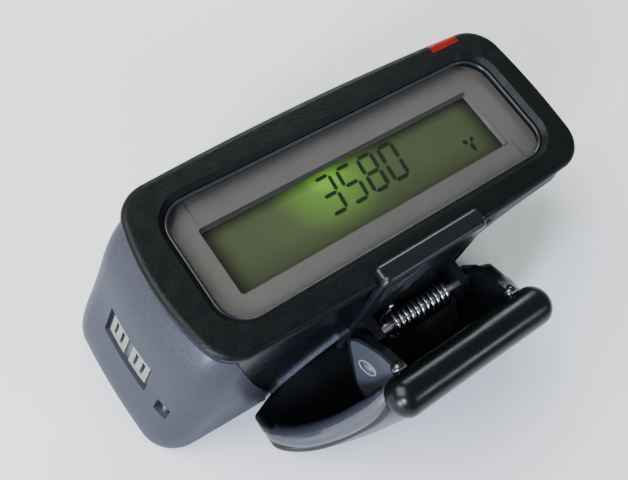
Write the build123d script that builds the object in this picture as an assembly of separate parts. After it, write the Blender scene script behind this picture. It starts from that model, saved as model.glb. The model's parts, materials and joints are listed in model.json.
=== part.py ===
"""Belt-worn pager with a display on its narrow top face and a sprung belt clip.

Units are millimetres.  The origin is on the base plane, straight under the
centre of the display face.  +X runs along the display to the right, +Y points
to the top of the display, +Z is the display's outward normal.
"""
from build123d import *
from math import hypot
import os

# ---------------------------------------------------------------- driving sizes
FACE_LENGTH = 64.0           # display face, corner to corner along X
FACE_WIDTH = 26.8            # display face, corner to corner along Y
BODY_HEIGHT = 32.0           # base plane to display face
CORNER_RADIUS = 5.6          # plan corners of the face
EDGE_BOW = 1.0               # how far the long edges bulge at their middle
LEFT_BOW = 2.4               # same for the left end of the face
RIGHT_BOW = 0.8              # same for the right end
RUNNING_GAP = 0.1            # clearance between pieces that slide or turn
FIT_GAP = 0.15               # clearance between pieces that are dropped in
SEAT_GAP = 0.03              # glue line between bonded pieces

BEZEL_DEPTH = 3.2            # side height of the black bezel
BEZEL_DRAFT = 0.8            # how far the bezel's side leans in over that depth
SEAL_THICKNESS = 0.3
WALL = 2.2                   # housing wall
FLOOR = 2.4                  # housing floor
HOUSING_TOP = BODY_HEIGHT - BEZEL_DEPTH - SEAL_THICKNESS

# Plan of the housing at several heights: height, left corner, left bow, inset.
HOUSING_SECTIONS = [
    (HOUSING_TOP, -32.0, 2.4, 0.8),
    (25.0, -33.5, 2.3, 0.3),
    (18.0, -35.2, 1.9, 0.0),
    (9.0, -37.6, 1.3, 0.0),
    (0.0, -39.6, 0.7, 0.0),
]
BASE_ROUNDING = 1.2
HEEL_START_X = 14.0          # the flat base ends here
HEEL_END = (34.0, 11.6)      # and the underside climbs to this point

# Clip bay: the wearer's side is cut away under a curved edge.
BAY_EDGE = [(-21.5, -2.0), (-20.0, 4.0), (-15.5, 9.6), (-11.0, 13.2),
            (-6.0, 15.4), (1.0, 18.8), (8.0, 22.6), (14.0, 25.4), (20.0, 26.4), (36.0, 26.4)]
BAY_RIM = 1.4                # height of the silver rim left above that edge
BAY_ROOF = 1.2               # wall left between the bay and the cavity
BAY_WALL_TOP = (-11.4, 27.0)   # Y and Z of the bay's back wall, high end
BAY_WALL_FOOT = (-5.4, 0.0)    # and low end
PANEL_LEFT = [(-22.5, 6.5), (-26.5, 18.0), (-30.0, 29.5)]
PANEL_RIGHT_X = 16.0
PANEL_THICKNESS = 0.7
PANEL_STEP = 0.45            # how far the panel lies behind the housing surface

# Display window and what is under it.
WINDOW_SIZE = (56.8, 19.2)
WINDOW_CENTRE = (-0.4, -0.1)
WINDOW_RADIUS = 4.4
WINDOW_LEDGE_Z = 29.4
GLASS_OPENING = (52.0, 16.4)
LENS_THICKNESS = 1.0
MASK_THICKNESS = 0.5
LCD_WINDOW = (47.6, 10.6)
LCD_CENTRE = (-0.8, -0.4)
LCD_SIZE = (48.6, 15.8)
LCD_TOP = 29.0
LCD_THICKNESS = 1.6
SEGMENT_HEIGHT = 0.12

# Digits: four seven-segment figures.
DIGIT_SIZE = (2.4, 5.6)
DIGIT_PITCH = 3.75
DIGIT_START = (-7.2, 0.8)    # left side of the first figure, and mid height
DIGIT_SLANT = 0.12           # sideways lean per unit of height
STROKE = 0.52
SEGMENT_CUT = 0.16           # gap between neighbouring segments
DIGITS = "3580"
SIGN_CENTRE = (18.2, -2.8)
SEGMENTS_OF = {"3": "abgcd", "5": "afgcd", "8": "abcdefg", "0": "abcdef"}

# Charge contacts in the left end.
WINDOW_HALF_Y = 5.4
WINDOW_Z = (11.2, 17.6)
CONTACT_CENTRES = (-2.6, 2.6)
PAD_HALF_Y = 2.0
PAD_Z = (12.0, 16.8)

# Circuit board and cell.
PCB_BOX = (-27.0, 26.6, -7.0, 10.0, 20.4, 21.6)
CELL_RADIUS = 5.25
CELL_LENGTH = 44.5
CELL_CENTRE_YZ = (3.1, 8.0)
CELL_START_X = -31.0

# Belt clip.
PLATE_HALF_WIDTH = 9.2
PLATE_INNER_Y = -13.7
PLATE_OUTER_Y = -14.9
PLATE_FOOT_Z = 5.8
TAB_TOP_Z = BODY_HEIGHT + 1.2
TAB_REACH_Y = -11.9
TAB_EDGE_ROUNDING = 0.7
PIVOT_YZ = (-17.4, 18.0)
PIN_RADIUS = 1.0
PIN_HALF_LENGTH = 10.8       # the pin ends inside the side plates
EAR_RADIUS = 2.2
EAR_SPAN = (7.4, 9.0)
CHEEK_SPAN = (9.9, 11.2)
CHEEK_CORNERS = [(-15.2, 17.0), (-21.2, 8.6), (-25.4, 8.0), (-25.4, 23.0), (-23.9, 25.4),
                 (-20.4, 23.9), (-16.9, 20.7)]
BAR_CENTRE_YZ = (-26.8, 24.0)
BAR_RADIUS = 3.0
BAR_HALF_LENGTH = 14.8
PADDLE_BEND_RADIUS = 62.0    # the paddle is bowed about an upright axis
PADDLE_OUTER_Y = -29.6
PADDLE_HALF_OUTLINE = [(11.6, 28.0), (13.8, 24.4), (16.2, 18.0), (19.4, 12.0), (23.2, 6.6),
                       (25.2, 3.4), (24.6, 1.4), (22.2, -1.0)]    # X and Z of its right side
PADDLE_ROUNDING = 0.8
HOOK_TIP_Y = -12.7           # middle of the hook, under the fixed plate
HOOK_TIP_HALF = 17.0         # half the width that reaches so far in
HOOK_SHOULDER = (26.0, -15.9)    # X and Y of the hook's outer corner
SPRING_RADIUS = 1.75         # to the middle of the wire
SPRING_WIRE = 0.7
SPRING_HALF_LENGTH = 5.2
SPRING_TURNS = 9

# Push buttons on the +Y side.
BUTTON_CENTRES = {"read_button": (7.0, 16.6), "select_button": (19.0, 16.6)}
BUTTON_RADIUS = {"read_button": 3.8, "select_button": 2.8}
BUTTON_PROUD = 0.7
BUTTON_FLANGE_Y = (10.75, 11.45)

# Vibrator.
MOTOR_AXIS_YZ = (3.2, 15.2)
MOTOR_X = (14.6, 24.6)
MOTOR_RADIUS = 2.0
WEIGHT_X = (25.4, 28.6)
WEIGHT_RADIUS = 2.7
SHAFT_RADIUS = 0.4

# Battery door: a plate with two tongues that run in the floor.
DOOR_X = (-32.2, 14.0)
DOOR_Y = (-2.6, 8.8)
DOOR_TONGUE = 1.2
DOOR_TOP_Z = 1.6
TONGUE_Z = 0.85

# Screws.
CASE_SCREWS = [(-26.9, -8.3, 0.6), (26.4, 8.4, 9.0)]    # X, Y, and Z of the head's face
CASE_SCREW_LENGTH = 12.0
POST_RADIUS = 1.6
BRACKET_SCREW_X = 5.6
BRACKET_SCREW_Z = 8.2

FAR = 60.0                   # longer than anything in the model


# ---------------------------------------------------------------- helpers
def block(x0, x1, y0, y1, z0, z1):
    """Axis-parallel box between two limits on each axis."""
    size = Box(x1 - x0, y1 - y0, z1 - z0)
    return Pos((x0 + x1) / 2, (y0 + y1) / 2, (z0 + z1) / 2) * size


def rod_x(radius, x0, x1, y, z):
    """Cylinder along X."""
    return Pos((x0 + x1) / 2, y, z) * Rot(0, 90, 0) * Cylinder(radius, x1 - x0)


def rod_y(radius, y0, y1, x, z):
    """Cylinder along Y."""
    return Pos(x, (y0 + y1) / 2, z) * Rot(90, 0, 0) * Cylinder(radius, y1 - y0)


def rod_z(radius, z0, z1, x, y):
    """Cylinder along Z."""
    return Pos(x, y, (z0 + z1) / 2) * Cylinder(radius, z1 - z0)


def rounded_slab(size, radius, z0, z1, centre=(0, 0)):
    """Flat plate with rounded plan corners."""
    plan = RectangleRounded(size[0], size[1], radius)
    return Pos(centre[0], centre[1], z0) * extrude(plan, z1 - z0)


def prism_y(points, y0, y1):
    """Polygon given as X, Z pairs, pushed from y0 to y1."""
    corners = [Vector(x, y0, z) for x, z in points]
    face = Face(Wire.make_polygon(corners, close=True))
    return extrude(face, y1 - y0, dir=(0, 1, 0))


def prism_x(points, x0, x1):
    """Polygon given as Y, Z pairs, pushed from x0 to x1."""
    corners = [Vector(x0, y, z) for y, z in points]
    face = Face(Wire.make_polygon(corners, close=True))
    return extrude(face, x1 - x0, dir=(1, 0, 0))


def face_outline(x_left, left_bow, inset):
    """Plan outline: four bowed sides and rounded corners, moved in by inset."""
    x_right = FACE_LENGTH / 2 - inset
    x_left = x_left + inset
    half = FACE_WIDTH / 2 - inset
    corners = [(x_left, -half), (x_right, -half), (x_right, half), (x_left, half)]
    middle_x = (x_left + x_right) / 2
    bulges = [(middle_x, -half - EDGE_BOW), (x_right + RIGHT_BOW, 0),
              (middle_x, half + EDGE_BOW), (x_left - left_bow, 0)]
    sides = [ThreePointArc(corners[i], bulges[i], corners[(i + 1) % 4]) for i in range(4)]
    plan = make_face(sides)
    return fillet(plan.vertices(), CORNER_RADIUS - inset)


def housing_form(inset):
    """Outer form of the housing, or a smaller copy of it."""
    plans = [Pos(0, 0, z) * face_outline(left, bow, lean + inset)
             for z, left, bow, lean in HOUSING_SECTIONS]
    return loft(plans)


def bay_form(rise, depth_shift):
    """Volume of the clip bay, its edge raised and its back wall moved in."""
    curve = Spline([Vector(x, 0, z + rise) for x, z in BAY_EDGE])
    start = curve @ 0
    end = curve @ 1
    low = -FAR
    border = Polyline([end, Vector(end.X, 0, low), Vector(start.X, 0, low), start])
    side = make_face([curve, border])
    swept = extrude(side, FAR, dir=(0, -1, 0)) + extrude(side, 0.1, dir=(0, 1, 0))
    top_y, top_z = BAY_WALL_TOP
    foot_y, foot_z = BAY_WALL_FOOT
    lean = (foot_y - top_y) / (top_z - foot_z)
    front = [(-FAR, FAR), (top_y + depth_shift - lean * (FAR - top_z), FAR),
             (foot_y + depth_shift + lean * FAR, foot_z - FAR), (-FAR, foot_z - FAR)]
    return swept & prism_x(front, -FAR, FAR)


def heel_form(rise):
    """Volume under the climbing underside at the right end."""
    end_x, end_z = HEEL_END
    points = [(HEEL_START_X, rise), (end_x, end_z + rise), (end_x + FAR, end_z + rise),
              (end_x + FAR, -FAR), (HEEL_START_X, -FAR)]
    return prism_y(points, -FAR, FAR)


def tab_notch():
    """Flat cut in the wearer's side where the clip's tab passes."""
    half = PLATE_HALF_WIDTH + FIT_GAP
    return block(-half, half, -FAR, PLATE_INNER_Y + FIT_GAP / 2, -1, BODY_HEIGHT + 1)


def screw(x, y, head_z, length, head_radius=1.7, shank_radius=0.9):
    """Pan-head screw with a cross recess; the head faces down."""
    head = rod_z(head_radius, head_z, head_z + 1.3, x, y)
    shank = rod_z(shank_radius, head_z + 1.3, head_z + length, x, y)
    slot = 0.45
    cross = block(x - 1.1, x + 1.1, y - slot / 2, y + slot / 2, head_z - 1, head_z + 0.7)
    cross += block(x - slot / 2, x + slot / 2, y - 1.1, y + 1.1, head_z - 1, head_z + 0.7)
    return head + shank - cross


# ---------------------------------------------------------------- display end
def bezel_block():
    """Outer form of the bezel: the face outline, leaning in towards its foot."""
    top = Pos(0, 0, BODY_HEIGHT) * face_outline(-FACE_LENGTH / 2, LEFT_BOW, 0)
    foot = Pos(0, 0, BODY_HEIGHT - BEZEL_DEPTH) * face_outline(-FACE_LENGTH / 2, LEFT_BOW, BEZEL_DRAFT)
    form = loft([foot, top])
    rim = form.faces().sort_by(Axis.Z)[-1].edges()
    return fillet(rim, 0.9)


def alert_lens_cut():
    """Space of the alert lens in the top edge of the bezel."""
    return block(21.3, 26.6, 11.9, 20, BODY_HEIGHT - BEZEL_DEPTH, BODY_HEIGHT + 1)


def front_bezel():
    form = bezel_block()
    pocket = rounded_slab(WINDOW_SIZE, WINDOW_RADIUS, WINDOW_LEDGE_Z, BODY_HEIGHT + 1, WINDOW_CENTRE)
    opening = rounded_slab(GLASS_OPENING, 1.0, 20, BODY_HEIGHT, LCD_CENTRE)
    flare_foot = Pos(*WINDOW_CENTRE, BODY_HEIGHT - 0.7) * RectangleRounded(*WINDOW_SIZE, WINDOW_RADIUS)
    wide = [side + 1.4 for side in WINDOW_SIZE]
    flare_top = Pos(*WINDOW_CENTRE, BODY_HEIGHT) * RectangleRounded(*wide, WINDOW_RADIUS + 0.7)
    shell = form - pocket - opening - loft([flare_foot, flare_top])
    foot_z = BODY_HEIGHT - BEZEL_DEPTH
    outer = face_outline(-FACE_LENGTH / 2, LEFT_BOW, BEZEL_DRAFT + WALL + RUNNING_GAP)
    inner = face_outline(-FACE_LENGTH / 2, LEFT_BOW, BEZEL_DRAFT + WALL + RUNNING_GAP + 0.9)
    tongue = Pos(0, 0, foot_z - 1.1) * extrude(outer - inner, 1.1)
    for x, y, head_z in CASE_SCREWS:
        post = rod_z(POST_RADIUS, head_z + 2.8, foot_z, x, y)
        bore = rod_z(0.9, head_z, head_z + CASE_SCREW_LENGTH + 0.5, x, y)
        tongue = tongue + post - bore
    return shell + tongue - tab_notch() - alert_lens_cut()


def alert_lens():
    lens = bezel_block() & alert_lens_cut()
    return lens.solids()[0]


def window_mask():
    z0 = WINDOW_LEDGE_Z
    size = [side - 2 * FIT_GAP for side in WINDOW_SIZE]
    plate = rounded_slab(size, WINDOW_RADIUS - FIT_GAP, z0, z0 + MASK_THICKNESS, WINDOW_CENTRE)
    return plate - rounded_slab(LCD_WINDOW, 0.5, z0 - 1, z0 + 2, LCD_CENTRE)


def window_lens():
    z0 = WINDOW_LEDGE_Z + MASK_THICKNESS
    size = [side - 2 * FIT_GAP for side in WINDOW_SIZE]
    return rounded_slab(size, WINDOW_RADIUS - FIT_GAP, z0, z0 + LENS_THICKNESS, WINDOW_CENTRE)


def lcd_glass():
    return rounded_slab(LCD_SIZE, 0.6, LCD_TOP - LCD_THICKNESS, LCD_TOP, LCD_CENTRE)


def bar_segment(x0, y0, x1, y1):
    """One straight display segment with pointed ends."""
    length = hypot(x1 - x0, y1 - y0)
    along = Vector((x1 - x0) / length, (y1 - y0) / length)
    across = Vector(-along.Y, along.X)
    half = STROKE / 2
    start = Vector(x0, y0) + along * SEGMENT_CUT
    end = Vector(x1, y1) - along * SEGMENT_CUT
    ring = [start, start + along * half + across * half, end - along * half + across * half,
            end, end - along * half - across * half, start + along * half - across * half]
    face = Face(Wire.make_polygon(ring, close=True))
    return Pos(0, 0, LCD_TOP) * extrude(face, SEGMENT_HEIGHT, dir=(0, 0, 1))


def lcd_segments():
    """Four figures and a small aerial sign, all raised dark electrodes."""
    width, height = DIGIT_SIZE
    lines = {
        "a": ((0, 1), (1, 1)), "b": ((1, 1), (1, 0.5)), "c": ((1, 0.5), (1, 0)), "d": ((0, 0), (1, 0)),
        "e": ((0, 0.5), (0, 0)), "f": ((0, 1), (0, 0.5)), "g": ((0, 0.5), (1, 0.5)),
    }
    solids = []
    lean = DIGIT_SLANT * height
    for place, figure in enumerate(DIGITS):
        left = DIGIT_START[0] + place * DIGIT_PITCH
        foot = DIGIT_START[1] - height / 2
        for name in SEGMENTS_OF[figure]:
            (ax, ay), (bx, by) = lines[name]
            solids.append(bar_segment(left + ax * width + ay * lean, foot + ay * height,
                                      left + bx * width + by * lean, foot + by * height))
    sign_x, sign_y = SIGN_CENTRE
    solids.append(bar_segment(sign_x, sign_y - 1.3, sign_x, sign_y + 0.5))
    for side in (-1, 1):
        solids.append(bar_segment(sign_x + side * 0.3, sign_y + 0.3, sign_x + side * 1.0, sign_y + 1.3))
    return Compound(children=[piece.solids()[0] for piece in solids])


def light_guide():
    top = LCD_TOP - LCD_THICKNESS
    guide = rounded_slab((48.0, 12.4), 0.6, top - 1.6, top, LCD_CENTRE)
    return guide - backlight_led()


def backlight_led():
    """Two small emitters let into the light guide's top edge."""
    top = LCD_TOP - LCD_THICKNESS
    leds = [block(x - 1.0, x + 1.0, LCD_CENTRE[1] + 4.8, LCD_CENTRE[1] + 6.2, top - 1.6, top - 0.5)
            for x in (-5.0, 9.0)]
    return Compound(children=[led.solids()[0] for led in leds])


def zebra_strips():
    """Two elastomer connectors between glass and board."""
    strips = [block(-23, 22, y - 0.5, y + 0.5, PCB_BOX[5], LCD_TOP - LCD_THICKNESS)
              for y in (LCD_CENTRE[1] - 6.9, LCD_CENTRE[1] + 6.9)]
    return Compound(children=[strip.solids()[0] for strip in strips])


def lcd_holder():
    """Frame that carries the light guide on the board."""
    top = LCD_TOP - LCD_THICKNESS - 1.6
    frame = rounded_slab((48.0, 12.4), 0.6, PCB_BOX[5], top, LCD_CENTRE)
    return frame - rounded_slab((44.0, 8.4), 0.6, PCB_BOX[5] - 1, top + 1, LCD_CENTRE)


def alert_led():
    return block(21.8, 23.8, 8.4, 10.0, PCB_BOX[5], 25.4)


# ---------------------------------------------------------------- housing
def panel_region():
    """Part of the wearer's side that the black panel covers, as a prism."""
    points = [(x, z + BAY_RIM) for x, z in BAY_EDGE if PANEL_LEFT[0][0] < x < PANEL_RIGHT_X]
    outline = PANEL_LEFT[::-1] + points + [(PANEL_RIGHT_X, 29.5)]
    return prism_y(outline, -FAR, -6)


def rear_housing():
    outer = housing_form(0)
    base_edges = outer.faces().sort_by(Axis.Z)[0].edges()
    outer = fillet(base_edges, BASE_ROUNDING)
    outer = outer - bay_form(0, 0) - heel_form(0)
    cavity = housing_form(WALL) & block(-FAR, FAR, -FAR, FAR, FLOOR, FAR)
    cavity = cavity - bay_form(BAY_ROOF, WALL) - heel_form(FLOOR + 0.3)
    shell = outer - cavity
    shell = shell - (panel_region() - housing_form(PANEL_STEP + PANEL_THICKNESS))
    shell = shell - tab_notch()
    for x, y, head_z in CASE_SCREWS:
        boss = rod_z(POST_RADIUS + 0.6, head_z, head_z + 2.7, x, y) & housing_form(0.4)
        shell = shell + (boss - heel_form(0))
        shell = shell - rod_z(2.0, head_z - 12, head_z + 1.4, x, y)
        shell = shell - rod_z(1.1, head_z, head_z + 4, x, y)
    shell = shell - door_slot() - contact_window() - eyelet_pocket()
    for name, (x, z) in BUTTON_CENTRES.items():
        shell = shell - rod_y(BUTTON_RADIUS[name] + RUNNING_GAP, 6, 20, x, z)
    for x in (-BRACKET_SCREW_X, BRACKET_SCREW_X):
        shell = shell - rod_y(0.9, -12, -2, x, BRACKET_SCREW_Z)
    return shell.solids().sort_by(SortBy.VOLUME)[-1]


def housing_seal():
    z0 = HOUSING_TOP
    outer = face_outline(-FACE_LENGTH / 2, LEFT_BOW, BEZEL_DRAFT + 0.35)
    inner = face_outline(-FACE_LENGTH / 2, LEFT_BOW, BEZEL_DRAFT + WALL - 0.1)
    ring = Pos(0, 0, z0) * extrude(outer - inner, SEAL_THICKNESS)
    return (ring - tab_notch()).solids().sort_by(SortBy.VOLUME)[-1]


def side_panel():
    """Black inlay on the wearer's side."""
    skin = housing_form(PANEL_STEP) - housing_form(PANEL_STEP + PANEL_THICKNESS - SEAT_GAP)
    shrunk = panel_region() & block(-FAR, FAR, -FAR, FAR, -FAR, HOUSING_TOP)
    panel = (skin & shrunk) - tab_notch()
    return panel.solids().sort_by(SortBy.VOLUME)[-1]


# ---------------------------------------------------------------- left end
def contact_window():
    return block(-FAR, -33.0, -WINDOW_HALF_Y, WINDOW_HALF_Y, *WINDOW_Z)


def contact_block():
    """Insulating insert that fills the window, slightly sunk."""
    gap = 0.08
    half = WINDOW_HALF_Y - gap
    plug = block(-FAR, -33.2, -half, half, WINDOW_Z[0] + gap, WINDOW_Z[1] - gap)
    body = housing_form(0.7) & plug
    for blank in contact_blanks():
        body = body - blank
    return body


def contact_blanks():
    """The two pads before their slots are cut."""
    skin = housing_form(0.35)
    return [skin & block(-FAR, -34.6, centre - PAD_HALF_Y, centre + PAD_HALF_Y, *PAD_Z)
            for centre in CONTACT_CENTRES]


def charge_contacts():
    """Two metal pads, each with a pair of slots."""
    pads = []
    for centre, blank in zip(CONTACT_CENTRES, contact_blanks()):
        for shift in (-0.8, 0.8):
            slot_y = centre + shift
            blank = blank - block(-FAR, -36.2, slot_y - 0.3, slot_y + 0.3, PAD_Z[0] + 0.8, PAD_Z[1] - 0.8)
        pads.append(blank.solids()[0])
    return Compound(children=pads)


def eyelet_pocket():
    """Small pocket beside the contacts, crossed by the strap pin."""
    return block(-FAR, -35.6, -10.2, -7.8, 10.4, 13.2)


def strap_pin():
    return rod_z(0.5, 10.4, 13.2, -36.7, -9.0)


# ---------------------------------------------------------------- inside
def main_pcb():
    board = block(*PCB_BOX)
    for x, y, head_z in CASE_SCREWS:
        board = board - rod_z(POST_RADIUS + 0.3, 15, 25, x, y)
    return board.solids().sort_by(SortBy.VOLUME)[-1]


def rf_shield():
    z1 = PCB_BOX[4]
    lid = block(-11.0, 5.0, -5.4, 6.4, z1 - 2.8, z1)
    return lid - block(-10.6, 4.6, -5.0, 6.0, z1 - 2.4, z1 + 1)


def controller_chip():
    z1 = PCB_BOX[4]
    return block(6.6, 13.0, -4.6, 1.8, z1 - 1.5, z1)


def crystal_can():
    z1 = PCB_BOX[4]
    return Pos(10, 6.2, z1 - 1.25) * extrude(RectangleRounded(6.4, 2.6, 1.2), 1.25)


def antenna_loop():
    """Flat strip bent into an open loop around the cell."""
    outer = block(-26.0, 12.0, -5.4, 8.3, 15.2, 16.4)
    inner = block(-25.2, 11.2, -4.6, 7.5, 15.0, 17.0)
    feet = block(-25.2, -24.0, -5.4, -4.6, 16.4, PCB_BOX[4])
    feet += block(10.8, 12.0, -5.4, -4.6, 16.4, PCB_BOX[4])
    return outer - inner - block(-8, -5, -6, -4, 15.0, 17.0) + feet


def buzzer():
    z1 = PCB_BOX[4]
    body = rod_z(5.6, z1 - 2.6, z1, -18.4, 1.6)
    return body - rod_z(1.0, z1 - 3, z1 - 1.4, -18.4, 1.6)


def cell():
    y, z = CELL_CENTRE_YZ
    body = rod_x(CELL_RADIUS, CELL_START_X, CELL_START_X + CELL_LENGTH - 1.0, y, z)
    nub = rod_x(1.9, CELL_START_X + CELL_LENGTH - 1.0, CELL_START_X + CELL_LENGTH, y, z)
    return fillet(body.edges(), 0.4) + nub


def cell_contacts():
    """Folded plate for each end of the cell."""
    y, z = CELL_CENTRE_YZ
    left = block(CELL_START_X - 0.9, CELL_START_X - 0.5, y - 3.5, y + 3.5, FLOOR, z + 4.5)
    left += rod_x(1.6, CELL_START_X - 0.5, CELL_START_X, y, z)
    end = CELL_START_X + CELL_LENGTH
    right = block(end, end + 0.4, y - 3.5, y + 3.5, FLOOR + 0.6, z + 4.5)
    return Compound(children=[left.solids()[0], right.solids()[0]])


def door_slot():
    """Opening for the cell and the grooves for the door's tongues."""
    x0 = DOOR_X[0] - 0.2
    x1 = HEEL_START_X + 5
    y0, y1 = DOOR_Y
    slot = block(x0, x1, y0 - 0.15, y1 + 0.15, -1, TONGUE_Z)
    slot += block(x0, x1, y0 - DOOR_TONGUE - 0.15, y1 + DOOR_TONGUE + 0.15,
                  TONGUE_Z - 0.1, DOOR_TOP_Z + 0.1)
    return slot + block(-31.8, 13.8, -2.5, 8.7, 0, FLOOR + 1)


def battery_door():
    x0, x1 = DOOR_X
    y0, y1 = DOOR_Y
    plate = block(x0, x1, y0, y1, 0, DOOR_TOP_Z)
    tongues = block(x0, x1, y0 - DOOR_TONGUE, y1 + DOOR_TONGUE, TONGUE_Z, DOOR_TOP_Z)
    door = plate + tongues
    for step in range(5):
        x = x1 - 3.0 - 1.4 * step
        door = door - block(x - 0.35, x + 0.35, y0 + 2.5, y1 - 2.5, -1, 0.35)
    return door


def motor():
    y, z = MOTOR_AXIS_YZ
    can = rod_x(MOTOR_RADIUS, MOTOR_X[0], MOTOR_X[1], y, z)
    return can - rod_x(SHAFT_RADIUS + 0.05, MOTOR_X[1] - 3, MOTOR_X[1] + 1, y, z)


def motor_weight():
    """Half-round weight on its shaft."""
    y, z = MOTOR_AXIS_YZ
    shaft = rod_x(SHAFT_RADIUS, MOTOR_X[1] - 2.5, WEIGHT_X[1], y, z)
    disc = rod_x(WEIGHT_RADIUS, WEIGHT_X[0], WEIGHT_X[1], y, z)
    hub = rod_x(1.1, WEIGHT_X[0], WEIGHT_X[1], y, z)
    lower = block(WEIGHT_X[0] - 1, WEIGHT_X[1] + 1, y - 4, y + 4, z - 4, z)
    return (disc & lower) + hub + shaft


def motor_boot():
    y, z = MOTOR_AXIS_YZ
    body = block(MOTOR_X[0] + 1, MOTOR_X[1] - 2, y - 2.9, y + 2.9, z - 2.9, PCB_BOX[4])
    return body - rod_x(MOTOR_RADIUS, MOTOR_X[0], MOTOR_X[1], y, z)


def switch_board():
    return block(2.0, 22.6, 8.7, 9.4, 11.6, PCB_BOX[4])


def switch_domes():
    """Metal snap domes behind the two buttons."""
    domes = []
    for name, (x, z) in BUTTON_CENTRES.items():
        foot = rod_y(2.2, 9.4, 9.7, x, z)
        cap = rod_y(1.3, 9.7, 10.05, x, z)
        domes.append((foot + cap).solids()[0])
    return Compound(children=domes)


def push_button(name):
    """Key with a domed face, an inner flange and a short nib."""
    x, z = BUTTON_CENTRES[name]
    radius = BUTTON_RADIUS[name]
    wall_y = FACE_WIDTH / 2 + EDGE_BOW * (1 - (x / (FACE_LENGTH / 2)) ** 2)
    face_y = wall_y + BUTTON_PROUD
    key = rod_y(radius, BUTTON_FLANGE_Y[0], face_y, x, z)
    key = fillet(key.faces().sort_by(Axis.Y)[-1].edges(), 0.5)
    flange = rod_y(radius + 0.6, BUTTON_FLANGE_Y[0], BUTTON_FLANGE_Y[1], x, z)
    return key + flange


def case_screws():
    screws = [screw(x, y, head_z, CASE_SCREW_LENGTH) for x, y, head_z in CASE_SCREWS]
    return Compound(children=[item.solids()[0] for item in screws])


# ---------------------------------------------------------------- belt clip
def bay_wall_y(z):
    """Y of the bay's leaning back wall at height z."""
    share = z / BAY_WALL_TOP[1]
    return BAY_WALL_FOOT[0] + share * (BAY_WALL_TOP[0] - BAY_WALL_FOOT[0])


def clip_bracket():
    """Fixed plate with a tab over the bezel's edge, a foot in the bay and two ears."""
    half = PLATE_HALF_WIDTH
    y_in, y_out = PLATE_INNER_Y, PLATE_OUTER_Y
    plate = block(-half, half, y_out, y_in, PLATE_FOOT_Z, TAB_TOP_Z)
    plate = fillet(plate.edges().filter_by(Axis.Y), 1.2)
    outer_face = plate.faces().sort_by(Axis.Y)[0]
    plate = fillet(outer_face.edges().group_by(Axis.Z)[-1], 0.7)
    tab = block(-half, half, y_in - 0.1, TAB_REACH_Y, BODY_HEIGHT + 0.08, TAB_TOP_Z)
    tab = fillet(tab.edges().filter_by(Axis.Z).group_by(Axis.Y)[-1], 0.8)
    tab = fillet(tab.faces().sort_by(Axis.Z)[-1].edges().group_by(Axis.Y)[-1], TAB_EDGE_ROUNDING)
    top_z = 12.6
    foot = prism_x([(y_in - 0.1, PLATE_FOOT_Z), (bay_wall_y(PLATE_FOOT_Z), PLATE_FOOT_Z),
                    (bay_wall_y(top_z), top_z), (y_in - 0.1, top_z)], -half + 1.2, half - 1.2)
    hollow = block(-3.2, 3.2, y_in, 0, PLATE_FOOT_Z - 1, top_z - 1.4)
    body = plate + tab + (foot - hollow)
    pivot_y, pivot_z = PIVOT_YZ
    for side in (-1, 1):
        x0, x1 = sorted((side * EAR_SPAN[0], side * EAR_SPAN[1]))
        ear = rod_x(EAR_RADIUS, x0, x1, pivot_y, pivot_z)
        ear += block(x0, x1, pivot_y, y_out + 0.1, pivot_z - EAR_RADIUS, pivot_z + EAR_RADIUS)
        body = body + ear
    body = body - rod_x(PIN_RADIUS, -20, 20, pivot_y, pivot_z)
    for x in (-BRACKET_SCREW_X, BRACKET_SCREW_X):
        body = body - rod_y(2.0, y_out - 1, y_in + 0.6, x, BRACKET_SCREW_Z)
        body = body - rod_y(1.0, y_out - 1, 0, x, BRACKET_SCREW_Z)
    for x in (-5.5, 0.0, 5.5):
        body = body - block(x - 1.6, x + 1.6, y_out - 1, y_out + 0.35, 22.5, 27.5)
    return body.solids().sort_by(SortBy.VOLUME)[-1]


def bracket_screws():
    y_seat = PLATE_INNER_Y + 0.6
    screws = []
    for x in (-BRACKET_SCREW_X, BRACKET_SCREW_X):
        head = rod_y(1.8, y_seat - 1.3, y_seat, x, BRACKET_SCREW_Z)
        shank = rod_y(0.9, y_seat, y_seat + 8.2, x, BRACKET_SCREW_Z)
        slot = block(x - 0.22, x + 0.22, y_seat - 2, y_seat - 0.7, BRACKET_SCREW_Z - 1.1,
                     BRACKET_SCREW_Z + 1.1)
        cross = block(x - 1.1, x + 1.1, y_seat - 2, y_seat - 0.7, BRACKET_SCREW_Z - 0.22,
                      BRACKET_SCREW_Z + 0.22)
        screws.append((head + shank - slot - cross).solids()[0])
    return Compound(children=screws)


def clip_pin():
    y, z = PIVOT_YZ
    half = PIN_HALF_LENGTH
    return fillet(rod_x(PIN_RADIUS, -half, half, y, z).edges(), 0.25)


def clip_cheeks():
    """Two three-sided side plates that join the paddle to the pin."""
    y, z = PIVOT_YZ
    cheeks = []
    for side in (-1, 1):
        x0, x1 = sorted((side * CHEEK_SPAN[0], side * CHEEK_SPAN[1]))
        plate = prism_x(CHEEK_CORNERS, x0, x1)
        plate = fillet(plate.edges().filter_by(Axis.X).sort_by(Axis.Y)[-1], 1.4)
        bore = PIN_HALF_LENGTH + RUNNING_GAP
        plate = plate - rod_x(PIN_RADIUS + 0.05, -bore, bore, y, z)
        plate = plate - paddle_form()
        plate = plate - grip_form(SEAT_GAP)
        cheeks.append(plate.solids().sort_by(SortBy.VOLUME)[-1])
    return Compound(children=cheeks)


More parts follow.
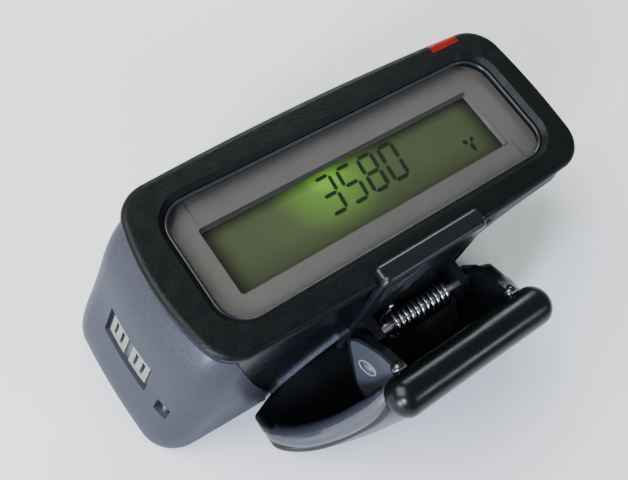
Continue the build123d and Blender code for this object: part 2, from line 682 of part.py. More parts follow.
def paddle_section():
    """Section of the paddle at X = 0, in Y and Z: a shell with a hook at its foot."""
    outer = Spline([Vector(0, -26.8, 25.6), Vector(0, PADDLE_OUTER_Y + 0.5, 21.6),
                    Vector(0, PADDLE_OUTER_Y, 14.0), Vector(0, -28.6, 6.0), Vector(0, -25.6, 1.7)])
    end_y = HOOK_TIP_Y + 0.4
    foot = Spline([outer @ 1, Vector(0, -23.4, 0.9), Vector(0, -19.0, 0.9), Vector(0, end_y, 2.6)])
    tip = Line(foot @ 1, Vector(0, end_y, 4.7))
    inner = Spline([tip @ 1, Vector(0, -16.0, 3.7), Vector(0, -19.5, 3.3), Vector(0, -23.6, 4.6),
                    Vector(0, -25.6, 9.0), Vector(0, -26.0, 16.0), Vector(0, -25.4, 22.6)])
    close = Line(inner @ 1, outer @ 0)
    return make_face([outer, foot, tip, inner, close])


def hook_outline():
    """Plan of the lever, with the hook's front narrowed to pass into the bay."""
    x, y = HOOK_SHOULDER
    front = [(HOOK_TIP_HALF, HOOK_TIP_Y), (x, y), (x, -FAR)]
    mirrored = [(-px, py) for px, py in reversed(front)]
    corners = [Vector(px, py, -FAR) for px, py in front + mirrored]
    return make_face(Polyline(corners, close=True))


def paddle_form():
    """Section swept round an upright axis, trimmed to the widening outline."""
    axis_y = PADDLE_OUTER_Y + PADDLE_BEND_RADIUS
    axis = Axis((0, axis_y, 0), (0, 0, 1))
    swing = 28.0
    ring = revolve(paddle_section().rotate(axis, -swing), axis, 2 * swing)
    right = Spline([Vector(x, 0, z) for x, z in PADDLE_HALF_OUTLINE])
    left = right.mirror(Plane.YZ)
    plan = make_face([right, left, Line(right @ 0, left @ 0), Line(right @ 1, left @ 1)])
    trimmed = ring & extrude(plan, FAR, dir=(0, -1, 0))
    trimmed = trimmed & extrude(hook_outline(), 2 * FAR, dir=(0, 0, 1))
    shell = trimmed.solids().sort_by(SortBy.VOLUME)[-1]
    return fillet(shell.edges(), PADDLE_ROUNDING)


def grip_form(rise):
    """Bar with rounded ends, its surface moved outwards by rise."""
    y, z = BAR_CENTRE_YZ
    radius = BAR_RADIUS + rise
    half_length = BAR_HALF_LENGTH + rise
    bar = rod_x(radius, -half_length, half_length, y, z)
    return fillet(bar.edges(), radius - 0.3)


def clip_paddle():
    paddle = paddle_form() - grip_form(SEAT_GAP)
    return paddle.solids().sort_by(SortBy.VOLUME)[-1]


def clip_grip():
    """Rolled bar along the paddle's upper edge."""
    return grip_form(0)


def clip_spring():
    """Torsion spring round the pin with one leg on the plate and one on the paddle."""
    y, z = PIVOT_YZ
    pitch = 2 * SPRING_HALF_LENGTH / SPRING_TURNS
    helix = Helix(pitch, 2 * SPRING_HALF_LENGTH, SPRING_RADIUS)
    start = helix @ 0
    profile = Plane(origin=start, z_dir=helix % 0) * Circle(SPRING_WIRE / 2)
    coil = sweep(profile, path=helix, is_frenet=True)
    placed = Pos(-SPRING_HALF_LENGTH, y, z) * Rot(0, 90, 0) * coil
    leg_y = y + SPRING_RADIUS
    up_leg = rod_z(SPRING_WIRE / 2, z, z + 5.0, -SPRING_HALF_LENGTH, leg_y)
    return placed + up_leg


PARTS = {
    "front_bezel": front_bezel, "window_lens": window_lens, "window_mask": window_mask,
    "lcd_glass": lcd_glass, "lcd_segments": lcd_segments, "light_guide": light_guide,
    "backlight_led": backlight_led, "zebra_strips": zebra_strips, "lcd_holder": lcd_holder,
    "alert_lens": alert_lens, "alert_led": alert_led, "rear_housing": rear_housing,
    "housing_seal": housing_seal, "side_panel": side_panel, "contact_block": contact_block,
    "charge_contacts": charge_contacts, "strap_pin": strap_pin, "main_pcb": main_pcb,
    "rf_shield": rf_shield, "controller_chip": controller_chip, "crystal_can": crystal_can,
    "antenna_loop": antenna_loop, "buzzer": buzzer, "cell": cell, "cell_contacts": cell_contacts,
    "battery_door": battery_door, "motor": motor, "motor_weight": motor_weight,
    "motor_boot": motor_boot, "switch_board": switch_board, "switch_domes": switch_domes,
    "case_screws": case_screws, "clip_bracket": clip_bracket, "bracket_screws": bracket_screws,
    "clip_pin": clip_pin, "clip_cheeks": clip_cheeks, "clip_paddle": clip_paddle,
    "clip_grip": clip_grip, "clip_spring": clip_spring,
}

os.makedirs("parts", exist_ok=True)
for node, make in PARTS.items():
    export_step(make(), f"parts/{node}.step")
for node in BUTTON_CENTRES:
    export_step(push_button(node), f"parts/{node}.step")
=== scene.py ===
import json
from math import cos, pi, radians, sin
import bmesh
import bpy
from mathutils import Matrix, Vector


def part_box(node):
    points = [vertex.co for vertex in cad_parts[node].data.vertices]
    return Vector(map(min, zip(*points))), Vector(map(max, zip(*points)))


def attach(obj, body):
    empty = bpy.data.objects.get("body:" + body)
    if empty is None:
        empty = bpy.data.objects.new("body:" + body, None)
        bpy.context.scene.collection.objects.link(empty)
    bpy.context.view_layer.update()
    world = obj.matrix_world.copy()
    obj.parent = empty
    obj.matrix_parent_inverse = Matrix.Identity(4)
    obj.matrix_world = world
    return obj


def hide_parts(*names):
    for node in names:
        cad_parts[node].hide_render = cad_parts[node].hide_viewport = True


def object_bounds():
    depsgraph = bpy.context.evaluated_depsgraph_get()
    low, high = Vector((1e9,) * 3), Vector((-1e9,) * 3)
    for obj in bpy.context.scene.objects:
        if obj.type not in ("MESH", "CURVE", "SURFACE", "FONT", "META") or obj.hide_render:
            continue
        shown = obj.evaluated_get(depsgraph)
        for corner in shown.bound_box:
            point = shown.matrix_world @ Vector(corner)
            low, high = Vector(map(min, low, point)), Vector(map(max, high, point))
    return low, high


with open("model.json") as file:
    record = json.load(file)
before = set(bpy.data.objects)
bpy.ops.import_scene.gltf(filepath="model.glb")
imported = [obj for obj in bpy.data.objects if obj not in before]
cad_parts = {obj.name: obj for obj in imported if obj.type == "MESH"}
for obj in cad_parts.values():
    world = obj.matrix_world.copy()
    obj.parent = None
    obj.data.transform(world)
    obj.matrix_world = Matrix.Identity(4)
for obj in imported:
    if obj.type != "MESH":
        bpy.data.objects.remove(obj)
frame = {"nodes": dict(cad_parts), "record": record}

CAD_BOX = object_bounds()
NODES = frame["nodes"]
MM = 0.001

# The camera, from the pager's own frame: place, and right and forward directions.
CAMERA_PLACE = Vector((-54.89, -31.16, 122.99)) * MM
CAMERA_RIGHT = Vector((0.7973, -0.5698, 0.1993))
CAMERA_FORWARD = Vector((0.4032, 0.2569, -0.8783))
CAMERA_LENS = 46.1
CAMERA_SENSOR = 36

# The opening in the printed border that shows the display.
DISPLAY_CENTRE = Vector((-0.8, -0.4, 0)) * MM
DISPLAY_SIZE = Vector((47.6, 10.6, 0)) * MM

WELL_MARGIN = 0.5 * MM                     # how far the well's collar runs under the border
WELL_TAPER = 0.4 * MM                      # how far each wall leans in on its way down
WELL_GAP = 0.02 * MM                       # the well's clearance to the border and the glass
LAMP_OFFSET = Vector((-4.0, 4.4, 0)) * MM  # brightest spot of the backlight, from the centre
LAMP_REACH = 14.0 * MM

# Polished bead round the window, on the lens's outline.
RIM_WIRE = 0.3 * MM
RIM_INSET = 0.15 * MM
RIM_LIFT = 0.08 * MM
RIM_CORNER = 4.1 * MM

# Cover plate on each cheek, as Y and Z corners in millimetres.
CHEEK_COVER = [(-15.8, 17.7), (-21.3, 9.8), (-25.0, 10.4), (-25.0, 22.4), (-23.4, 24.3),
               (-20.3, 22.9), (-17.2, 20.1)]
COVER_RISE = 0.12 * MM
COVER_ROUNDING = 0.9 * MM

# Plain oval badge on each plate: its centre from the pin, half axes, lean and raised edge.
BADGE_OFFSET = Vector((0, -3.0, -0.8)) * MM
BADGE_HALVES = (1.9 * MM, 1.1 * MM)
BADGE_LEAN = radians(-50)
BADGE_WIRE = 0.15 * MM
BADGE_STEPS = 40
PAD_CROWN = 0.06 * MM
PAD_DEPTH = 0.1 * MM

# Round boss above the plate, with its centre this far inside the cheek's outer face.
BOSS_YZ = (-23.4 * MM, 24.2 * MM)
BOSS_RADIUS = 1.15 * MM
BOSS_INSET = 0.65 * MM
BOSS_STEPS = 12

# Torsion spring on the clip's pin.
COIL_RADIUS = 1.75 * MM
COIL_HALF_LENGTH = 5.2 * MM
COIL_TURNS = 11
TURN_STEPS = 28
WIRE_RADIUS = 0.33 * MM
LEG_LENGTH = 5.0 * MM
LEG_PITCH = 0.8 * MM
LEG_POINTS = 7

# The bar's round ends are a little flatter than half a ball, and its middle is slightly thinner.
BAR_END_SHARE = 0.9
BAR_WAIST = 0.02
BAR_STEPS = 12

# The paddle is bowed about an upright axis at this Y. Its edge passes these places, given as
# X, Y before bowing, Z and half the thickness, in millimetres.
PADDLE_BEND_Y = 32.4
LIP_STATIONS = [(13.2, -26.5, 24.6, 0.9), (14.8, -27.3, 21.5, 1.45), (16.3, -27.7, 18.0, 1.75),
                (19.4, -27.7, 12.0, 1.8), (22.7, -27.0, 7.3, 1.75), (24.5, -25.6, 4.4, 1.5),
                (24.7, -23.9, 2.9, 1.25), (24.6, -22.5, 2.4, 1.1)]
LIP_INSET_SHARE = 0.6    # how far the lip's middle lies inside that edge, over half its thickness

FLOOR_HALF_WIDTH = 1.2
FLOOR_DROP = 0.2 * MM                      # keeps the floor clear of the base

# Soft lights, in metres and watts: name, place, width and height, power and colour.
LIGHT_TARGET = (0, -0.005, 0.016)
LIGHTS = [
    ("top", (-0.34, 0.24, 0.46), (0.45, 0.45), 7.0, (1.0, 0.985, 0.97)),
    ("back", (0.28, 0.5, 0.36), (0.3, 0.24), 3.4, (0.84, 1.0, 0.98)),
    ("key", (-0.43, -0.2, 0.3), (0.13, 0.13), 4.6, (0.72, 0.82, 1.0)),
    ("side", (-0.45, -0.15, 0.09), (0.08, 0.08), 2.6, (0.66, 0.78, 1.0)),
    ("front", (0.26, -0.42, 0.34), (0.16, 0.1), 0.8, (0.86, 1.0, 0.98)),
]


# ------------------------------------------------------------------ materials
class Surface:
    """A principled material whose varying inputs come from nodes on object coordinates."""

    def __init__(self, name, color, roughness, **constants):
        self.material = bpy.data.materials.new(name)
        self.material.use_nodes = True
        tree = self.material.node_tree
        self.nodes, self.links = tree.nodes, tree.links
        self.shader = self.nodes["Principled BSDF"]
        self.shader.inputs["Base Color"].default_value = (*color, 1)
        self.shader.inputs["Roughness"].default_value = roughness
        for key, value in constants.items():
            self.shader.inputs[key.replace("_", " ")].default_value = value
        self.material.diffuse_color = (*color, 1)
        self.place = self.nodes.new("ShaderNodeTexCoord").outputs["Object"]
        self.color, self.roughness = color, roughness

    def node(self, kind, **settings):
        made = self.nodes.new("ShaderNode" + kind)
        for key, value in settings.items():
            setattr(made, key, value)
        return made

    def noise(self, scale, detail=4.0, stretch=(1, 1, 1)):
        """Noise with features about 1 / scale metres across."""
        mapping = self.node("Mapping")
        mapping.inputs["Scale"].default_value = stretch
        self.links.new(self.place, mapping.inputs["Vector"])
        texture = self.node("TexNoise")
        texture.inputs["Scale"].default_value = scale
        texture.inputs["Detail"].default_value = detail
        self.links.new(mapping.outputs["Vector"], texture.inputs["Vector"])
        return texture.outputs["Fac"]

    def cells(self, scale):
        texture = self.node("TexVoronoi")
        texture.inputs["Scale"].default_value = scale
        self.links.new(self.place, texture.inputs["Vector"])
        return texture.outputs["Distance"]

    def span(self, source, low, high, from_low=0.3, from_high=0.7):
        """A number that runs from low to high as the source does."""
        change = self.node("MapRange")
        ends = {"From Min": from_low, "From Max": from_high, "To Min": low, "To Max": high}
        for key, value in ends.items():
            change.inputs[key].default_value = value
        self.links.new(source, change.inputs["Value"])
        return change.outputs["Result"]

    def ramp(self, source, stops):
        made = self.node("ValToRGB")
        elements = made.color_ramp.elements
        while len(elements) < len(stops):
            elements.new(0.5)
        for element, (place, color) in zip(elements, stops):
            element.position = place
            element.color = (*color, 1)
        self.links.new(source, made.inputs["Fac"])
        return made.outputs["Color"]

    def tint(self, source, dark, light):
        """Colour varies between dark and light shares of the base colour."""
        shades = [tuple(min(channel * share, 1) for channel in self.color) for share in (dark, light)]
        color = self.ramp(source, [(0.3, shades[0]), (0.7, shades[1])])
        self.links.new(color, self.shader.inputs["Base Color"])
        return self

    def polish(self, source, spread):
        """Roughness varies by spread on each side of its value."""
        value = self.span(source, self.roughness - spread, self.roughness + spread)
        self.links.new(value, self.shader.inputs["Roughness"])
        return self

    def bump(self, source, depth, strength=1.0, under=None):
        made = self.node("Bump")
        made.inputs["Distance"].default_value = depth
        made.inputs["Strength"].default_value = strength
        self.links.new(source, made.inputs["Height"])
        if under is not None:
            self.links.new(under, made.inputs["Normal"])
        self.links.new(made.outputs["Normal"], self.shader.inputs["Normal"])
        return made.outputs["Normal"]

    def product(self, first, second):
        made = self.node("Math", operation="MULTIPLY")
        self.links.new(first, made.inputs[0])
        self.links.new(second, made.inputs[1])
        return made.outputs[0]

    def shaded(self, color, share):
        """The colour, darkened to the given share of itself."""
        made = self.node("Mix", data_type="RGBA", blend_type="MULTIPLY")
        made.inputs["Factor"].default_value = 1.0
        self.links.new(color, made.inputs["A"])
        self.links.new(share, made.inputs["B"])
        return made.outputs["Result"]

    def distance_from(self, point):
        """Distance from a point of the object's frame, in metres."""
        made = self.node("VectorMath", operation="DISTANCE")
        made.inputs[1].default_value = point
        self.links.new(self.place, made.inputs[0])
        return made.outputs["Value"]


def plastic(name, color, roughness, grain=None, grain_depth=0.0, **constants):
    """Moulded plastic: faint mottling, uneven gloss and an optional tool grain."""
    surface = Surface(name, color, roughness, **constants)
    surface.tint(surface.noise(90), 0.88, 1.12)
    surface.polish(surface.noise(240), 0.05)
    smooth = surface.bump(surface.noise(110, 2), 0.00001, 0.25)
    if grain:
        surface.bump(surface.noise(grain, 6), grain_depth, 1.0, smooth)
    return surface.material


def metal(name, color, roughness, brushed=(1, 1, 1), scale=900, **constants):
    """Bare or plated metal with fine directional scratches."""
    surface = Surface(name, color, roughness, Metallic=1.0, **constants)
    grain = surface.noise(scale, 5, brushed)
    surface.tint(grain, 0.9, 1.08)
    surface.polish(grain, 0.06)
    surface.bump(grain, 0.00001, 0.5)
    return surface.material


def silver_paint():
    surface = Surface("silver_paint", (0.046, 0.0485, 0.056), 0.35, Metallic=0.55,
                      Specular_IOR_Level=0.1, Specular_Tint=(0.5, 0.52, 0.6, 1))
    flakes = surface.cells(3800)
    surface.tint(flakes, 0.9, 1.14)
    surface.polish(surface.noise(70), 0.05)
    peel = surface.bump(surface.noise(420, 2), 0.00003, 0.35)
    surface.bump(flakes, 0.000012, 0.4, peel)
    return surface.material


def bezel_black():
    """Black moulding with the matt grain of a spark-eroded tool."""
    surface = Surface("bezel_black", (0.0018, 0.0023, 0.0025), 0.42, Specular_IOR_Level=0.14)
    surface.tint(surface.noise(60), 0.8, 1.3)
    surface.polish(surface.noise(500), 0.07)
    soft = surface.bump(surface.noise(180, 2), 0.00003, 0.3)
    surface.bump(surface.noise(2300, 5), 0.00006, 0.9, soft)
    return surface.material


def display_glass():
    """Reflective display: olive ground with painted shade near its frame, and a green glow from the
    lamp.
    """
    surface = Surface("display_glass", (0.035, 0.042, 0.018), 0.4, Specular_IOR_Level=0.2)
    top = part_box("lcd_glass")[1].z
    low = DISPLAY_CENTRE - DISPLAY_SIZE / 2
    high = DISPLAY_CENTRE + DISPLAY_SIZE / 2
    split = surface.node("SeparateXYZ")
    surface.links.new(surface.place, split.inputs[0])
    across, up = split.outputs["X"], split.outputs["Y"]
    # Painted shade: colour and glow are darkened a few millimetres in from each side, where the border
    # shades the display.
    painted_shade = surface.product(surface.span(up, 1.0, 0.2, high.y - 2.2 * MM, high.y - 0.1 * MM),
                            surface.span(up, 1.0, 0.62, low.y + 4.0 * MM, low.y))
    painted_shade = surface.product(painted_shade, surface.span(across, 0.3, 1.0, low.x + 0.3 * MM, low.x + 3.0 * MM))
    painted_shade = surface.product(painted_shade, surface.span(across, 1.0, 0.3, high.x - 3.4 * MM, high.x - 0.6 * MM))
    olives = [(0.3, (0.034, 0.041, 0.018)), (0.7, (0.04, 0.048, 0.021))]
    ground = surface.ramp(surface.noise(55, 3), olives)
    lamp = DISPLAY_CENTRE + LAMP_OFFSET
    glow = surface.distance_from((lamp.x, lamp.y, top))
    reach = surface.span(glow, 1.0, 0.0, 0.0, LAMP_REACH)
    light = surface.ramp(reach, [(0.0, (0.0, 0.0, 0.0)), (0.35, (0.006, 0.02, 0.0)),
                                 (0.75, (0.075, 0.27, 0.0)), (1.0, (0.24, 0.75, 0.0))])
    surface.links.new(surface.shaded(ground, painted_shade), surface.shader.inputs["Base Color"])
    surface.links.new(surface.shaded(light, painted_shade), surface.shader.inputs["Emission Color"])
    surface.shader.inputs["Emission Strength"].default_value = 0.9
    surface.bump(surface.noise(1800, 4), 0.000008, 0.4)
    return surface.material


def clear_window():
    surface = Surface("clear_window", (0.01, 0.011, 0.011), 0.06, Alpha=0.05)
    surface.polish(surface.noise(300), 0.02)
    surface.material.blend_method = "BLEND"
    return surface.material


def red_lens():
    surface = Surface("red_lens", (0.14, 0.002, 0.002), 0.3, Specular_IOR_Level=0.15,
                      Coat_Weight=0.15)
    surface.tint(surface.noise(200), 0.8, 1.15)
    # Painted glow: the lens gives off a faint red light of its own.
    surface.shader.inputs["Emission Color"].default_value = (0.5, 0.004, 0.004, 1)
    surface.shader.inputs["Emission Strength"].default_value = 0.05
    surface.bump(surface.cells(900), 0.00004, 0.35)
    return surface.material


def board_green():
    """Solder resist with faint tracks under it."""
    surface = Surface("board_green", (0.01, 0.11, 0.04), 0.3, Coat_Weight=0.5)
    wave = surface.node("TexWave", wave_type="BANDS", bands_direction="X")
    wave.inputs["Scale"].default_value = 160
    wave.inputs["Distortion"].default_value = 3
    surface.links.new(surface.place, wave.inputs["Vector"])
    surface.tint(wave.outputs["Fac"], 0.75, 1.3)
    surface.bump(wave.outputs["Fac"], 0.00003, 0.5)
    return surface.material


def cell_jacket():
    """Plain printed sleeve: a dark body and one gold band at the button end."""
    surface = Surface("cell_jacket", (0.02, 0.05, 0.12), 0.28, Metallic=0.4, Coat_Weight=0.5)
    split = surface.node("SeparateXYZ")
    surface.links.new(surface.place, split.inputs[0])
    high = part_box("cell")[1]
    share = surface.span(split.outputs["X"], 0.0, 1.0, high.x - 12 * MM, high.x - 11.6 * MM)
    color = surface.ramp(share, [(0.0, (0.02, 0.05, 0.12)), (1.0, (0.5, 0.33, 0.12))])
    surface.links.new(color, surface.shader.inputs["Base Color"])
    surface.bump(surface.noise(500), 0.00001, 0.3)
    return surface.material


def make_materials():
    return {
        "black_textured": bezel_black(),
        "black_gloss": plastic("gloss_black", (0.003, 0.0036, 0.005), 0.3, Specular_IOR_Level=0.35),
        "silver_paint": silver_paint(),
        "clear_window": clear_window(),
        "gray_print": plastic("gray_print", (0.053, 0.048, 0.043), 0.6, 1500, 0.00002),
        "lcd_olive": display_glass(),
        "lcd_dark": plastic("electrode", (0.004, 0.006, 0.003), 0.5, Specular_IOR_Level=0.2),
        "light_white": plastic("guide_white", (0.6, 0.62, 0.58), 0.3),
        "led_green": plastic("led_green", (0.1, 0.5, 0.03), 0.2),
        "led_red": plastic("led_red", (0.5, 0.02, 0.02), 0.2),
        "red_lens": red_lens(),
        "rubber_black": plastic("seal_rubber", (0.012, 0.012, 0.012), 0.7, 2000, 0.00003),
        "contact_gray": plastic("contact_gray", (0.03, 0.031, 0.034), 0.45, 1500, 0.00002),
        "contact_metal": metal("nickel_plate", (0.3, 0.3, 0.285), 0.42, (1, 6, 1)),
        "steel": metal("plated_steel", (0.5, 0.5, 0.52), 0.3, (1, 8, 8)),
        "spring_steel": metal("spring_wire", (0.4, 0.41, 0.44), 0.17),
        "pcb_green": board_green(),
        "tin_can": metal("tinned_sheet", (0.5, 0.5, 0.48), 0.35, (1, 6, 1)),
        "chip_black": plastic("epoxy_black", (0.02, 0.02, 0.021), 0.55, 2500, 0.00002),
        "copper_strip": metal("copper_strip", (0.62, 0.33, 0.2), 0.3, (8, 1, 1)),
        "buzzer_black": plastic("buzzer_case", (0.02, 0.02, 0.022), 0.5),
        "cell_jacket": cell_jacket(),
        "cheek_gray": plastic("cheek_black", (0.004, 0.0045, 0.006), 0.3, 1400, 0.000015),
        "key_gray": plastic("key_rubber", (0.04, 0.043, 0.05), 0.5, 1800, 0.00003),
    }


MATERIALS = make_materials()


def dress_cad_nodes():
    """Every CAD node takes the detailed material of its record slot."""
    slot_of = {part["node"]: part["material_slot"] for part in frame["record"]["subparts"]}
    for name, obj in NODES.items():
        material = MATERIALS[slot_of[name]]
        for holder in obj.material_slots:
            holder.material = material


# ------------------------------------------------------------------ mesh tools
def mesh_object(name, vertices, faces, material, body, smooth=True):
    mesh = bpy.data.meshes.new(name)
    mesh.from_pydata([tuple(v) for v in vertices], [], faces)
    mesh.update()
    tidy = bmesh.new()
    tidy.from_mesh(mesh)
    bmesh.ops.recalc_face_normals(tidy, faces=tidy.faces)
    tidy.to_mesh(mesh)
    tidy.free()
    for polygon in mesh.polygons:
        polygon.use_smooth = smooth
    obj = bpy.data.objects.new(name, mesh)
    bpy.context.scene.collection.objects.link(obj)
    obj.data.materials.append(material)
    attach(obj, body)
    return obj


def band(first, second, count):
    """Quads that join two rings of count points, which start at these indices."""
    return [(first + k, first + (k + 1) % count, second + (k + 1) % count, second + k)
            for k in range(count)]


def tube(name, path, radii, material, body, sides=16, closed=False):
    """Round tube along a list of points; radii is one number or one for each point."""
    count = len(path)
    radii = radii if isinstance(radii, (list, tuple)) else [radii] * count
    vertices, faces = [], []
    before = None
    for i, point in enumerate(path):
        ahead = path[(i + 1) % count] if closed or i + 1 < count else point
        behind = path[i - 1] if closed or i > 0 else point
        along = (ahead - behind).normalized()
        if before is None:
            before = along.orthogonal().normalized()
        across = (before - along * before.dot(along)).normalized()
        other = along.cross(across)
        before = across
        for k in range(sides):
            turn = 2 * pi * k / sides
            vertices.append(point + (across * cos(turn) + other * sin(turn)) * radii[i])
    rings = count if closed else count - 1
    for i in range(rings):
        faces += band(i * sides, (i + 1) % count * sides, sides)
    if not closed:
        faces.append(tuple(range(sides)))
        faces.append(tuple(range((count - 1) * sides, count * sides)))
    return mesh_object(name, vertices, faces, material, body)


def lathe(name, profile, origin, axis, material, body, sides=64):
    """Turned piece: profile of (radius, height) pairs from a centre to a centre."""
    axis = Vector(axis).normalized()
    across = axis.orthogonal().normalized()
    other = axis.cross(across)
    vertices, faces = [], []
    for radius, height in profile:
        for k in range(sides):
            turn = 2 * pi * k / sides
            offset = (across * cos(turn) + other * sin(turn)) * max(radius, 1e-6)
            vertices.append(Vector(origin) + axis * height + offset)
    for i in range(len(profile) - 1):
        faces += band(i * sides, (i + 1) * sides, sides)
    faces.append(tuple(range(sides)))
    last = (len(profile) - 1) * sides
    faces.append(tuple(range(last, last + sides)))
    return mesh_object(name, vertices, faces, material, body)


def rounded_ring(centre, size, radius, corner_steps=10):
    """Points of a rounded rectangle in a plane of constant height."""
    points = []
    half_x, half_y = size[0] / 2 - radius, size[1] / 2 - radius
    for quarter, (sx, sy) in enumerate([(1, 1), (-1, 1), (-1, -1), (1, -1)]):
        for step in range(corner_steps + 1):
            turn = pi / 2 * (quarter + step / corner_steps)
            points.append(Vector((centre.x + sx * half_x + radius * cos(turn),
                                  centre.y + sy * half_y + radius * sin(turn), centre.z)))
    return points


# ------------------------------------------------------------------ pieces
def window_rim():
    """Thin polished bead round the window, just above the printed border."""
    low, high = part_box("window_lens")
    centre = Vector(((low.x + high.x) / 2, (low.y + high.y) / 2, high.z + RIM_LIFT))
    size = (high.x - low.x - 2 * RIM_INSET, high.y - low.y - 2 * RIM_INSET)
    path = rounded_ring(centre, size, RIM_CORNER)
    bead = Surface("rim_bead", (0.008, 0.01, 0.014), 0.3, Specular_IOR_Level=0.35)
    bead.polish(bead.noise(300), 0.04)
    bead.bump(bead.noise(600), 0.00001, 0.3)
    tube("window_rim", path, RIM_WIRE, bead.material, "pager_body", 10, closed=True)


def display_well():
    """Sloping wall from the printed border down to the display glass."""
    border_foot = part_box("window_mask")[0].z + WELL_GAP
    glass_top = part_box("lcd_glass")[1].z + WELL_GAP
    upper = Vector((DISPLAY_CENTRE.x, DISPLAY_CENTRE.y, border_foot))
    lower = Vector((DISPLAY_CENTRE.x, DISPLAY_CENTRE.y, glass_top))
    rings = []
    for centre, growth, radius in ((upper, WELL_MARGIN, 0.9 * MM), (upper, 0, 0.5 * MM),
                                   (lower, -WELL_TAPER, 0.4 * MM), (lower, WELL_MARGIN, 0.9 * MM)):
        size = [side + 2 * growth for side in DISPLAY_SIZE.xy]
        rings.append(rounded_ring(centre, size, radius, 4))
    count = len(rings[0])
    vertices = [point for ring in rings for point in ring]
    faces = []
    for level in range(4):
        faces += band(level * count, (level + 1) % 4 * count, count)
    well = plastic("well_gray", (0.02, 0.019, 0.016), 0.6, 1500, 0.00002)
    mesh_object("display_well", vertices, faces, well, "pager_body", smooth=False)


def prism(name, corners, x_back, x_front, material, body):
    """Flat plate across X from its outline of (y, z) corners, with a small bevel in front."""
    middle = sum((Vector((0, y, z)) for y, z in corners), Vector()) / len(corners)
    shoulder = x_back * 0.3 + x_front * 0.7
    rings = []
    for x, share in ((x_back, 1.0), (shoulder, 1.0), (x_front, 0.985)):
        ring = [middle.lerp(Vector((0, y, z)), share) for y, z in corners]
        rings.append([Vector((x, point.y, point.z)) for point in ring])
    count = len(corners)
    vertices = [point for ring in rings for point in ring]
    faces = [tuple(range(count)), tuple(range(2 * count, 3 * count))]
    for level in range(2):
        faces += band(level * count, (level + 1) * count, count)
    return mesh_object(name, vertices, faces, material, body, smooth=False)


def rounded_corners(corners, radius, steps=5):
    """The outline with each corner replaced by a short curve that starts radius away from it."""
    outline = []
    for i, corner in enumerate(corners):
        here, before = Vector(corner), Vector(corners[i - 1])
        after = Vector(corners[(i + 1) % len(corners)])
        start = here + (before - here).normalized() * min(radius, (before - here).length / 2)
        end = here + (after - here).normalized() * min(radius, (after - here).length / 2)
        for step in range(steps + 1):
            t = step / steps
            point = start * (1 - t) ** 2 + here * 2 * t * (1 - t) + end * t * t
            outline.append((point.x, point.y))
    return outline


def pin_centre():
    low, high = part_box("clip_pin")
    return (low + high) / 2


def cheek_badge(side, centre, out, edge, pad):
    """Oval badge: a raised wire round a slightly crowned pad."""
    long, short = BADGE_HALVES
    rim = []
    for k in range(BADGE_STEPS):
        turn = 2 * pi * k / BADGE_STEPS
        a, b = long * cos(turn), short * sin(turn)
        rim.append(centre + Vector((0, a * cos(BADGE_LEAN) - b * sin(BADGE_LEAN),
                                    a * sin(BADGE_LEAN) + b * cos(BADGE_LEAN))))
    tube(f"cheek_mark_{side}", rim, BADGE_WIRE, edge, "clip_lever", 8, closed=True)
    crown = centre + Vector((out * PAD_CROWN, 0, 0))
    root = centre - Vector((out * PAD_DEPTH, 0, 0))
    faces = [(k, (k + 1) % BADGE_STEPS, BADGE_STEPS) for k in range(BADGE_STEPS)]
    faces += [((k + 1) % BADGE_STEPS, k, BADGE_STEPS + 1) for k in range(BADGE_STEPS)]
    mesh_object(f"cheek_pad_{side}", rim + [crown, root], faces, pad, "clip_lever")


def cheek_trim():
    """Cover plate, badge and round boss on the outside of each cheek."""
    low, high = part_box("clip_cheeks")
    pin = pin_centre()
    satin = plastic("cheek_satin", (0.036, 0.039, 0.048), 0.32, 1400, 0.000015)
    light = plastic("cheek_mark", (0.16, 0.165, 0.18), 0.35)
    pad = plastic("cheek_pad", (0.085, 0.09, 0.1), 0.4)
    boss = plastic("boss_black", (0.004, 0.0045, 0.006), 0.2, Coat_Weight=0.5)
    outline = rounded_corners([(y * MM, z * MM) for y, z in CHEEK_COVER], COVER_ROUNDING)
    turns = [pi * k / BOSS_STEPS for k in range(BOSS_STEPS + 1)]
    ball = [(BOSS_RADIUS * sin(turn), -BOSS_RADIUS * cos(turn)) for turn in turns]
    for side, x, out in (("left", low.x, -1), ("right", high.x, 1)):
        back, front = x - out * COVER_RISE, x + out * COVER_RISE
        prism(f"cheek_cover_{side}", outline, back, front, satin, "clip_lever")
        centre = Vector((front, pin.y, pin.z)) + BADGE_OFFSET
        cheek_badge(side, centre, out, light, pad)
        place = Vector((x - out * BOSS_INSET, *BOSS_YZ))
        lathe(f"arm_boss_{side}", ball, place, (1, 0, 0), boss, "clip_lever", 32)


def torsion_spring():
    """Close-wound coil round the pin, with one leg that stands up against the plate."""
    pin = pin_centre()
    path = []
    for step in range(LEG_POINTS):
        rise = LEG_LENGTH - step * LEG_PITCH
        path.append(Vector((-COIL_HALF_LENGTH, pin.y + COIL_RADIUS, pin.z + rise)))
    steps = COIL_TURNS * TURN_STEPS
    for step in range(steps + 1):
        turn = -2 * pi * step / TURN_STEPS
        along = -COIL_HALF_LENGTH + 2 * COIL_HALF_LENGTH * step / steps
        path.append(Vector((along, pin.y + COIL_RADIUS * cos(turn),
                            pin.z + COIL_RADIUS * sin(turn))))
    wire = MATERIALS["spring_steel"]
    piece = tube("spring_coil", path, WIRE_RADIUS, wire, "pager_body", 12)
    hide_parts("clip_spring")


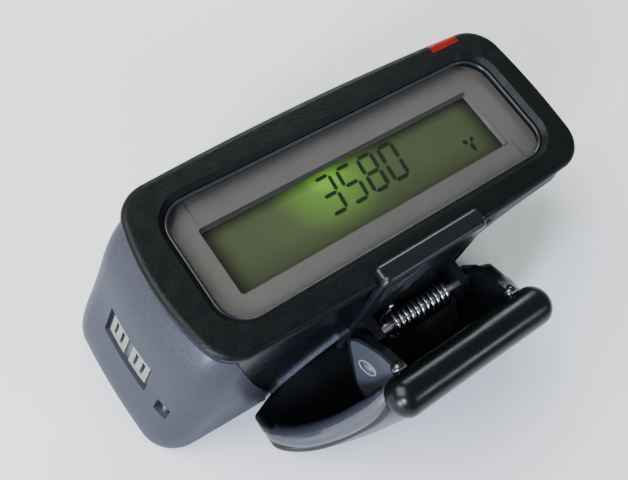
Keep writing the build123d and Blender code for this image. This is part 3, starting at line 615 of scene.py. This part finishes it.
def grip_bar():
    """Rolled bar: a long barrel with full round ends and a faint waist."""
    low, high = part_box("clip_grip")
    centre = (low + high) / 2
    radius = (high.z - low.z) / 2
    half = (high.x - low.x) / 2
    end = radius * BAR_END_SHARE
    turns = [pi / 2 * step / BAR_STEPS for step in range(BAR_STEPS + 1)]
    profile = [(radius * sin(turn), -half + end * (1 - cos(turn))) for turn in turns]
    for step in range(1, BAR_STEPS):
        share = step / BAR_STEPS
        along = -half + end + 2 * (half - end) * share
        profile.append((radius * (1 - BAR_WAIST * sin(pi * share)), along))
    profile += [(radius * sin(turn), half - end * (1 - cos(turn))) for turn in reversed(turns)]
    black = plastic("grip_black", (0.0018, 0.0024, 0.0028), 0.26, 1300, 0.00001,
                    Specular_IOR_Level=0.22)
    piece = lathe("grip_bar", profile, centre, (1, 0, 0), black, "clip_lever")
    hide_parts("clip_grip")


def smooth_path(stations, steps=6):
    """Points and radii of a smooth curve through (x, y, z, radius) stations."""
    path, radii = [], []
    last = len(stations) - 1
    for i in range(last):
        around = [Vector(stations[min(max(i + k, 0), last)]) for k in (-1, 0, 1, 2)]
        before, start, end, after = around
        for step in range(steps + (i == last - 1)):
            t = step / steps
            spot = 0.5 * (2 * start + (end - before) * t
                          + (2 * before - 5 * start + 4 * end - after) * t * t
                          + (3 * start - before - 3 * end + after) * t ** 3)
            path.append(Vector(spot[:3]) * MM)
            radii.append(spot[3] * MM)
    return path, radii


def paddle_lips():
    """Full-round lip down each side of the paddle, from the bar to the hook."""
    # Black plastic, lightened and tinted blue as a painted sheen along the paddle's edge.
    gloss = plastic("lip_painted_sheen", (0.02, 0.022, 0.03), 0.27, 1300, 0.00001, Coat_Weight=0.5)
    for side, sign in (("left", -1), ("right", 1)):
        stations = []
        for x, y, z, half in LIP_STATIONS:
            reach = PADDLE_BEND_Y - y
            bent_y = PADDLE_BEND_Y - (reach ** 2 - x ** 2) ** 0.5
            stations.append(Vector((sign * (x - LIP_INSET_SHARE * half), bent_y, z, half)))
        path, radii = smooth_path(stations)
        tube(f"paddle_lip_{side}", path, radii, gloss, "clip_lever", 20)


# ------------------------------------------------------------------ stage
def floor():
    reach = FLOOR_HALF_WIDTH
    corners = [(-reach, -reach, 0), (reach, -reach, 0), (reach, reach, 0), (-reach, reach, 0)]
    mesh = bpy.data.meshes.new("floor")
    mesh.from_pydata(corners, [], [(0, 1, 2, 3)])
    obj = bpy.data.objects.new("floor", mesh)
    bpy.context.scene.collection.objects.link(obj)
    pale = Surface("floor_pale", (0.72, 0.705, 0.71), 0.85)
    pale.tint(pale.noise(12, 2), 0.99, 1.01)
    obj.data.materials.append(pale.material)
    obj.location.z = CAD_BOX[0][2] - FLOOR_DROP


def area_light(name, place, size, power, color):
    data = bpy.data.lights.new(name, "AREA")
    data.shape = "RECTANGLE"
    data.size, data.size_y = size
    data.energy = power
    data.color = color
    obj = bpy.data.objects.new(name, data)
    obj.location = place
    aim = Vector(LIGHT_TARGET) - Vector(place)
    obj.rotation_euler = aim.to_track_quat("-Z", "Y").to_euler()
    bpy.context.scene.collection.objects.link(obj)


def lights():
    world = bpy.data.worlds.new("studio")
    world.use_nodes = True
    back = world.node_tree.nodes["Background"]
    back.inputs["Color"].default_value = (0.95, 0.96, 1.0, 1)
    back.inputs["Strength"].default_value = 0.36
    bpy.context.scene.world = world
    for settings in LIGHTS:
        area_light(*settings)


def camera():
    data = bpy.data.cameras.new("camera")
    data.lens = CAMERA_LENS
    data.sensor_width = CAMERA_SENSOR
    data.clip_start = 0.005
    obj = bpy.data.objects.new("camera", data)
    right = CAMERA_RIGHT.normalized()
    back = -CAMERA_FORWARD.normalized()
    up = back.cross(right).normalized()
    right = up.cross(back)
    axes = Matrix((right, up, back)).transposed()
    obj.matrix_world = Matrix.Translation(CAMERA_PLACE) @ axes.to_4x4()
    bpy.context.scene.collection.objects.link(obj)
    bpy.context.scene.camera = obj


dress_cad_nodes()
window_rim()
display_well()
cheek_trim()
torsion_spring()
grip_bar()
paddle_lips()
floor()
lights()
camera()
